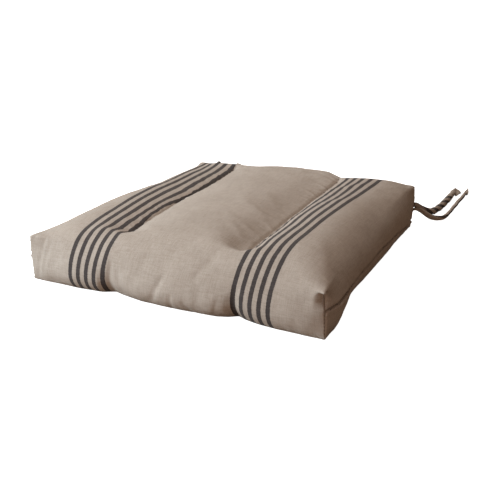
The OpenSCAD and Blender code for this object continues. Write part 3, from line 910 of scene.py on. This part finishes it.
for name, r in (("left", ROW_L), ("right", ROW_R)):
    rows_, ys = [], np.linspace(-156, 186, 86)
    for yy in ys:
        a, b = drop(r, yy)[0], drop(r, yy, False)[0]
        lo_z, hi_z = b.z + 1.2, a.z - 1.2
        t = np.linspace(0, 1, 9)
        wave = 0.8 * np.sin(np.pi * t) * math.sin(yy / 11.0)
        rows_.append(np.stack([r + wave, np.full(9, yy), lo_z + (hi_z - lo_z) * t], 1))
    grid_ = np.array(rows_)
    face_a, face_b = grid_ - [0.4, 0, 0], grid_ + [0.4, 0, 0]
    k, m = grid_.shape[:2]
    ids = np.arange(k * m).reshape(k, m)
    f = []
    for i in range(k - 1):
        for j in range(m - 1):
            f.append([ids[i, j], ids[i, j + 1], ids[i + 1, j + 1], ids[i + 1, j]])
            f.append([k * m + ids[i, j], k * m + ids[i + 1, j], k * m + ids[i + 1, j + 1], k * m + ids[i, j + 1]])
    rim = [(0, j) for j in range(m)] + [(i, m - 1) for i in range(1, k)] + [(k - 1, j) for j in range(m - 2, -1, -1)] + [(i, 0) for i in range(k - 2, 0, -1)]
    for q in range(len(rim)):
        a, b = ids[rim[q]], ids[rim[(q + 1) % len(rim)]]
        f.append([b, a, k * m + a, k * m + b])
    sheet_ = mesh_object("divider_sheet_" + name, np.vstack([face_a.reshape(-1, 3), face_b.reshape(-1, 3)]) / 1000.0, f, None, MAT_DIVIDER)
    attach(sheet_, "pad")
    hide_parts("divider_" + name)


# ---------------------------------------------------------------- sewing
def stitches(name, nodes, course, long=4.6, pitch=7.4, radius=0.42, sink=0.15, seed=1, material=None, body="pad", start=2.0):
    """Separate thread stitches along a course of (point, normal) pairs, each with its ends going into the cloth."""
    p = np.array([c[0] for c in course], float)
    n = np.array([c[1] for c in course], float)
    s = np.concatenate([[0], np.cumsum(np.linalg.norm(np.diff(p, axis=0), axis=1))])
    rng = np.random.RandomState(seed)
    pts, faces = [], []
    at = start
    while at + long < s[-1] + 0.05:
        u = np.linspace(0, 1, 7)
        q = at + u * long
        c = np.stack([np.interp(q, s, p[:, i]) for i in range(3)], 1)
        m = np.stack([np.interp(q, s, n[:, i]) for i in range(3)], 1)
        m /= np.linalg.norm(m, axis=1, keepdims=True)
        t = np.gradient(c, axis=0)
        t /= np.linalg.norm(t, axis=1, keepdims=True)
        side_ = np.cross(m, t)
        c = c + m * (radius - sink - 1.5 * (2 * u - 1) ** 6)[:, None] + side_ * rng.uniform(-0.18, 0.18)
        ph = np.arange(6) * np.pi / 3
        rad = radius * (1 - 0.35 * (2 * u - 1) ** 4)
        ring_ = c[:, None, :] + rad[:, None, None] * (np.cos(ph)[None, :, None] * side_[:, None, :] + np.sin(ph)[None, :, None] * m[:, None, :])
        base = len(pts)
        pts += ring_.reshape(-1, 3).tolist()
        for i in range(6):
            for j in range(6):
                faces.append([base + i * 6 + j, base + i * 6 + (j + 1) % 6, base + (i + 1) * 6 + (j + 1) % 6, base + (i + 1) * 6 + j][::-1])
        faces.append([base + j for j in range(6)])
        faces.append([base + 36 + j for j in range(6)][::-1])
        at += pitch * rng.uniform(0.92, 1.08)
    o = mesh_object(name, np.array(pts) / 1000.0, faces, None, material or MAT_THREAD)
    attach(o, body)
    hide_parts(*nodes)
    return o


FN = normals_of(FINE, FQ)
for name, r in (("left", ROW_L), ("right", ROW_R)):
    for where, up in (("top", True), ("under", False)):
        course = []
        for yy in np.linspace(-158, 188, 240):
            hit, nn = drop(r, yy, up)
            course.append((tuple(hit), (0, 0, 1.0 if up else -1.0)))
        stitches("row_thread_%s_%s" % (where, name), ["row_stitches_%s_%s" % (where, name)], course, seed=3 if up else 4)


def seam_course(ids, skip=4):
    """The seam's own points on the finished cover, nearest to the coarse seam points."""
    course = []
    for i in ids[skip:-skip]:
        hit = TREE.find_nearest(Vector(COARSE[i].tolist()))
        course.append((tuple(hit[0]), tuple(hit[1])))
    return course


_cols = {k: np.where(INFO["side"] == k)[0] for k in range(4)}
for name, k in (("side_seam_right", 1), ("back_seam", 2), ("side_seam_left", 3)):
    stitches(name.replace("seam", "thread"), [name], seam_course(INFO["w"][NLO, _cols[k]]), long=3.0, pitch=4.6, radius=0.3, sink=0.25, seed=30 + k)
for name, c in (("front_left", 0), ("front_right", 1), ("back_right", 2), ("back_left", 3)):
    ids = INFO["w"][:, INFO["corners"][c]]
    fine_ids = []
    course = []
    line = COARSE[ids]
    sl = np.concatenate([[0], np.cumsum(np.linalg.norm(np.diff(line, axis=0), axis=1))])
    for q in np.linspace(5, sl[-1] - 5, 60):
        pt = [float(np.interp(q, sl, line[:, i])) for i in range(3)]
        hit = TREE.find_nearest(Vector(pt))
        out_ = Vector((pt[0], pt[1], 0)).normalized()
        course.append((tuple(hit[0]), tuple(out_)))
    stitches("corner_thread_" + name, ["corner_seam_" + name], course, long=3.0, pitch=4.6, radius=0.3, sink=0.25, seed=50 + c)

# ---------------------------------------------------------------- ties
ROUTES = {
    "tie_right_inner": [[184.5, 204.5, 37], [184.8, 212, 33.5], [185.6, 220, 29], [187, 228, 24], [188.8, 236, 19], [190.8, 244, 14.5], [192.8, 252, 10.8], [194.6, 260, 8], [196, 269, 6.3], [197.4, 280, 5.4], [198.4, 292, 5], [199, 304, 5], [199, 316, 5], [199, 328, 5], [198.6, 340, 5], [198, 350, 5], [198.4, 360, 5], [200, 370, 5], [202, 380, 5]],
    "tie_right_outer": [[184.5, 204.5, 28.6], [187.4, 211, 27.5], [190.6, 218, 24.0], [195, 225, 18], [200.5, 231, 12], [207, 237, 7.5], [213, 244, 5.5], [217, 252, 4.5], [219, 262, 5], [219, 274, 5], [219, 287, 5], [218, 300, 5], [218, 313, 5], [217, 326, 5], [217, 339, 5], [217, 352, 5], [216, 365, 5], [215, 378, 5], [213, 391, 5], [212, 399, 5]],
    "tie_left_inner": [[-184.5, 204.5, 37], [-183, 212, 36.5], [-180, 220, 34], [-176, 228, 28], [-171, 236, 21], [-165, 243, 14], [-158, 250, 9], [-151, 257, 6], [-144, 265, 5], [-138, 275, 5], [-134, 286, 5], [-133, 297, 5], [-135, 308, 5], [-140, 318, 5], [-148, 327, 5], [-157, 334, 5], [-167, 340, 5], [-177, 346, 5]],
    "tie_left_outer": [[-184.5, 204.5, 28], [-188, 211, 26.5], [-193, 218, 22], [-199, 225, 16], [-206, 231, 10.5], [-213, 237, 7], [-220, 244, 5.5], [-226, 252, 5], [-230, 262, 5], [-231, 274, 5], [-229, 286, 5], [-225, 297, 5], [-220, 307, 5], [-215, 317, 5], [-212, 327, 5], [-212, 337, 5], [-215, 346, 5], [-220, 354, 5]],
}


def catmull(p, step):
    """Points every step mm on a smooth curve through p."""
    p = np.array(p, float)
    q = np.vstack([2 * p[0] - p[1], p, 2 * p[-1] - p[-2]])
    out = []
    for k in range(1, len(q) - 2):
        a, b, c, d = q[k - 1 : k + 3]
        t = np.linspace(0, 1, 25)[:-1, None]
        out.append(0.5 * (2 * b + (c - a) * t + (2 * a - 5 * b + 4 * c - d) * t**2 + (3 * b - a - 3 * c + d) * t**3))
    out = np.vstack([*out, p[-1:]])
    s = np.concatenate([[0], np.cumsum(np.linalg.norm(np.diff(out, axis=0), axis=1))])
    n = max(2, int(round(s[-1] / step)))
    at = np.linspace(0, s[-1], n + 1)
    return np.stack([np.interp(at, s, out[:, i]) for i in range(3)], 1), at


def tape(name, route, wide, thick, turn, tab, tab_w, tab_roll, material, shift=0.0, plain_tab=3.0, tip=1.0):
    """A folded strip twisted like a rope that ends in a flat hemmed tab.

    turn: [(s, angle)] of the twist in mm and radians. Returns the object, its ring centres and the tab's hem line.
    """
    c, s = catmull(route, 1.2)
    total = s[-1]
    sides = 36
    t = np.gradient(c, axis=0)
    t /= np.linalg.norm(t, axis=1, keepdims=True)
    up = np.array([0.0, 0.0, 1.0])
    rng = np.random.RandomState(len(name) + int(wide * 10))
    ph = np.arange(sides) * 2 * np.pi / sides
    rings, frames = [], []
    ts, ta = np.array(turn, float).T
    knots = np.linspace(0, total, 16)
    lump = np.interp(s, knots, rng.uniform(0.93, 1.07, 16))
    for k in range(len(c)):
        a = np.cross(t[k], up)
        a /= np.linalg.norm(a)
        b = np.cross(a, t[k])
        flat = smooth((s[k] - (total - tab - 2.5)) / 3.6)
        neck = 1 - 0.2 * bell((s[k] - (total - tab - 4)) / 8.0)
        if wide < 4:  # the thin strip is fuller up to its bend
            neck *= 1 + 0.32 * (1 - smooth((s[k] - 58) / 26.0))
        root = 1 - smooth(s[k] / 16.0)
        close = smooth((s[k] - (total - 1.0)) / 1.0)
        taper = 1 - (1 - tip) * smooth((s[k] - (total - tab * 0.6)) / (tab * 0.6))
        w = wide * neck * lump[k] * (1 - 0.5 * root) * (1 - flat) + tab_w / 2 * flat * taper
        h = thick * neck / lump[k] * (1 - 0.45 * root) * (1 - flat) + 1.1 * flat
        ang = np.interp(s[k], ts, ta) * (1 - flat) + tab_roll * flat
        w *= 1 - 0.08 * close
        h *= 1 - 0.45 * close
        ex = np.sign(np.cos(ph)) * np.abs(np.cos(ph)) ** (0.95 - 0.4 * flat)
        ey = np.sign(np.sin(ph)) * np.abs(np.sin(ph)) ** (0.95 - 0.3 * flat)
        # the strip's two folded edges meet in a groove that winds round the rope
        groove = 1 - 0.17 * (1 - flat) * (np.exp(-(((ph - 0.35) / 0.16) ** 2)) + np.exp(-(((ph - np.pi - 0.35) / 0.16) ** 2)))
        px, py = w * ex * groove, h * ey * groove
        # the hem: a turned-over end, thicker, with a step before it
        hem = flat * (1.0 + 0.35 * smooth((s[k] - (total - 6.5)) / 0.9))
        py = py * (1 - flat) + py * hem
        # a slack tab waves a little
        py = py + flat * 0.7 * np.sin(px * 0.55 + s[k] * 0.31)
        qx = px * np.cos(ang) - py * np.sin(ang)
        qy = px * np.sin(ang) + py * np.cos(ang)
        centre = c[k] + np.array([0, 0, 1.0]) * flat * (tab_w / 2 * abs(math.sin(tab_roll)) - 3.4)
        rings.append(centre + qx[:, None] * a + qy[:, None] * b)
        frames.append((centre, a, b, ang, w, h * (1 + 0.35 * flat), flat))
    rings = np.array(rings)
    rings[:, :, 2] = np.maximum(rings[:, :, 2], 0.35)
    n = len(c)
    pts = rings.reshape(-1, 3)
    faces, fuv = [], []
    for k in range(n - 1):
        on_tab = plain_tab and s[k] > total - tab - plain_tab
        for j in range(sides):
            j2 = (j + 1) % sides
            faces.append([(k + 1) * sides + j, (k + 1) * sides + j2, k * sides + j2, k * sides + j])
            u0 = j * 30.0 / sides + shift
            if u0 > 30.0 - 1e-6:
                u0 -= 30.0
            u1 = u0 + 30.0 / sides
            if on_tab:
                u0, u1 = u0 + 100, u1 + 100
            fuv += [[u0, s[k + 1]], [u1, s[k + 1]], [u1, s[k]], [u0, s[k]]]
    # each end closes over a smaller ring and a point
    for base, flip in ((0, False), (n - 1, True)):
        first = len(pts)
        mid = rings[base].mean(0)
        inner = mid + (rings[base] - mid) * 0.5
        pts = np.vstack([pts, inner, mid])
        for j in range(sides):
            j2 = (j + 1) % sides
            q = [base * sides + j, base * sides + j2, first + j2, first + j]
            tri = [first + j, first + j2, first + sides]
            for f in (q, tri):
                faces.append(f[::-1] if flip else f)
                fuv += [[(100.0 if plain_tab > 0 and flip else 0.0) + 12.0, s[base]]] * len(f)
    me = bpy.data.meshes.new(name)
    me.from_pydata([tuple(p / 1000.0) for p in pts], [], faces)
    layer = me.uv_layers.new(name="cloth")
    layer.data.foreach_set("uv", (np.array(fuv) / 1000.0).astype(np.float32).reshape(-1))
    me.polygons.foreach_set("use_smooth", np.ones(len(me.polygons), bool))
    me.update()
    me.materials.append(material)
    o = bpy.data.objects.new(name, me)
    scene.collection.objects.link(o)
    # the hem's line of stitches runs across the tab's upper face
    k = int(np.argmin(np.abs(s - (total - (5.2 if tip > 0.5 else 9.0)))))
    centre, a, b, ang, w, h, _ = frames[k]
    across = math.cos(ang) * a + math.sin(ang) * b
    out = -math.sin(ang) * a + math.cos(ang) * b
    line = [(centre + across * q + out * (h + 0.7 * math.sin(q * 0.55 + s[k] * 0.31)), out) for q in np.linspace(-w + min(1.0, 0.25 * w), w - min(1.0, 0.25 * w), 24)]
    return o, rings.mean(1) / 1000.0, line


def winding(total, tab, pitch, turn0):
    """Twist angles that end at turn0 where the tab begins."""
    return [(0, turn0 + 2 * np.pi * (total - tab) / pitch), (total - tab, turn0), (total, turn0)]


MAT_TIE = striped_cloth("tie_cloth", (0.0075, 0.0225), half=3.2e-3, pitch=30e-3, count=1)
MAT_TIE_EDGE = striped_cloth("tie_cloth_edge", (0.0075,), half=3.4e-3, pitch=30e-3, count=1)
MAT_TIE_DARK = striped_cloth("tie_cloth_dark", (0.0075, 0.0225), half=6.0e-3, pitch=30e-3, count=1)
for node, wide, thick, turn, tab, tab_w, roll, mat, shift, plain, tip, across in (
    ("tie_right_inner", 5.4, 4.7, [(0, 18.75), (36, 18.35), (62, 16.46), (173.2, 0.58), (192.2, 0.58)], 18.0, 12.6, -0.57, MAT_TIE, 0.0, 23.0, 1.0, 11.0),
    ("tie_right_outer", 2.9, 2.6, [(0, 3.6), (30, 2.0), (54, 1.1), (76, -0.15), (212, -0.25)], 28.0, 6.8, -0.3, MAT_TIE_EDGE, 6.5, 0.0, 0.3, 8.5),
    ("tie_left_inner", 5.0, 4.2, winding(186.3, 16, 44.0, 0.3), 16.0, 13.0, -0.75, MAT_TIE, 0.0, 4.0, 1.0, 11.0),
    ("tie_left_outer", 4.6, 3.8, winding(177.3, 10, 44.0, 0.9), 10.0, 6.4, -0.4, MAT_TIE_DARK, 0.0, 0.0, 0.8, 11.0),
):
    tie, path, line = tape(node + "_tape", ROUTES[node], wide, thick, turn, tab, tab_w, roll, mat, shift, plain, tip)
    body = node.replace("tie_", "", 1) + "_tie"
    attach(tie, body)
    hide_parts(node)
    hem = stitches(node.replace("tie_", "hem_thread_", 1), [node.replace("tie_", "tie_hem_", 1)], line, long=1.7, pitch=2.5, radius=0.24, sink=0.1, seed=70, body=body, start=0.3)

# bars of close stitches that hold each pair in its corner seam
for name, cx, cy in (("tie_tack_right", 184.5, 204.5), ("tie_tack_left", -184.5, 204.5)):
    o_ = np.array([np.sign(cx) * 0.7071, 0.7071, 0.0])
    side_ = np.array([-o_[1], o_[0], 0.0])
    pts, faces = [], []
    for q, zz in enumerate(np.arange(26.5, 48.5, 1.15)):
        lean = 0.5 * (-1) ** q
        row = []
        for e in np.linspace(-2.7, 2.7, 9):
            near = TREE.find_nearest(Vector((cx + side_[0] * e, cy + side_[1] * e, zz + lean * e / 2.7)))
            p = np.array(near[0])
            row.append(p + o_ * (0.5 * (1 - (e / 2.7) ** 4) - 0.15))
        row = np.array(row)
        base = len(pts)
        for p in row:
            for j in range(6):
                th = j * np.pi / 3
                pts.append(p + 0.42 * (math.cos(th) * o_ + math.sin(th) * np.array([0, 0, 1.0])))
        for i in range(len(row) - 1):
            for j in range(6):
                faces.append([base + i * 6 + j, base + i * 6 + (j + 1) % 6, base + (i + 1) * 6 + (j + 1) % 6, base + (i + 1) * 6 + j])
        faces.append([base + j for j in range(6)][::-1])
        faces.append([base + (len(row) - 1) * 6 + j for j in range(6)])
    bar = mesh_object(name.replace("tie_tack", "bar_tack"), np.array(pts) / 1000.0, faces, None, MAT_THREAD)
    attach(bar, "pad")
    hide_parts(name)

# ---------------------------------------------------------------- stage and light
floor = mesh_object("floor", np.array([[-6, -6, 0], [6, -6, 0], [6, 6, 0], [-6, 6, 0]], float), [[0, 1, 2, 3]])
floor.location.z = -0.0004
fm = bpy.data.materials.new("floor")
fm.use_nodes = True
ft = fm.node_tree
ft.nodes.clear()
fo = ft.nodes.new("ShaderNodeOutputMaterial")
fd = ft.nodes.new("ShaderNodeBsdfDiffuse")
fd.inputs[0].default_value = (0.86, 0.86, 0.86, 1)
fdark = ft.nodes.new("ShaderNodeBsdfDiffuse")
fdark.inputs[0].default_value = (0.34, 0.26, 0.20, 1)
fe = ft.nodes.new("ShaderNodeEmission")
fe.inputs[0].default_value = (1, 1, 1, 1)
fe.inputs[1].default_value = 1.0
fa = ft.nodes.new("ShaderNodeAddShader")
lp = ft.nodes.new("ShaderNodeLightPath")
fx = ft.nodes.new("ShaderNodeMixShader")
ft.links.new(fd.outputs[0], fa.inputs[0])
ft.links.new(fe.outputs[0], fa.inputs[1])
ft.links.new(lp.outputs["Is Camera Ray"], fx.inputs[0])
ft.links.new(fdark.outputs[0], fx.inputs[1])
ft.links.new(fa.outputs[0], fx.inputs[2])
ft.links.new(fx.outputs[0], fo.inputs[0])
floor.data.materials.append(fm)

world = bpy.data.worlds.new("world")
scene.world = world
world.use_nodes = True
wt = world.node_tree
wt.nodes.clear()
wo = wt.nodes.new("ShaderNodeOutputWorld")
wb = wt.nodes.new("ShaderNodeBackground")
wb.inputs[0].default_value = (1.0, 0.72, 0.56, 1)
wb.inputs[1].default_value = 0.205
wc = wt.nodes.new("ShaderNodeBackground")
wc.inputs[0].default_value = (1, 1, 1, 1)
wc.inputs[1].default_value = 1.0
wl = wt.nodes.new("ShaderNodeLightPath")
wm = wt.nodes.new("ShaderNodeMixShader")
wt.links.new(wl.outputs["Is Camera Ray"], wm.inputs[0])
wt.links.new(wb.outputs[0], wm.inputs[1])
wt.links.new(wc.outputs[0], wm.inputs[2])
wt.links.new(wm.outputs[0], wo.inputs[0])


def area(name, at, aim, size, power, color):
    d = bpy.data.lights.new(name, "AREA")
    d.shape = "RECTANGLE"
    d.size, d.size_y = size
    d.energy = power
    d.color = color
    o = bpy.data.objects.new(name, d)
    scene.collection.objects.link(o)
    o.location = at
    o.rotation_euler = (Vector(aim) - Vector(at)).to_track_quat("-Z", "Y").to_euler()
    return o


area("key", (-1.22, -1.00, 0.62), (-0.02, -0.05, 0.03), (0.75, 0.75), 31.0, (0.76, 0.92, 1.03))
area("front", (-0.20, -1.70, 0.90), (0.02, 0.0, 0.03), (0.7, 0.7), 6.5, (1.0, 0.72, 0.60))
area("overhead", (-0.60, 0.35, 1.50), (0.02, 0.0, 0.03), (0.9, 0.9), 15.6, (1.0, 0.97, 0.94))
scene.view_settings.view_transform = "Standard"
scene.view_settings.look = "None"
scene.view_settings.exposure = 0.0
scene.view_settings.gamma = 1.0
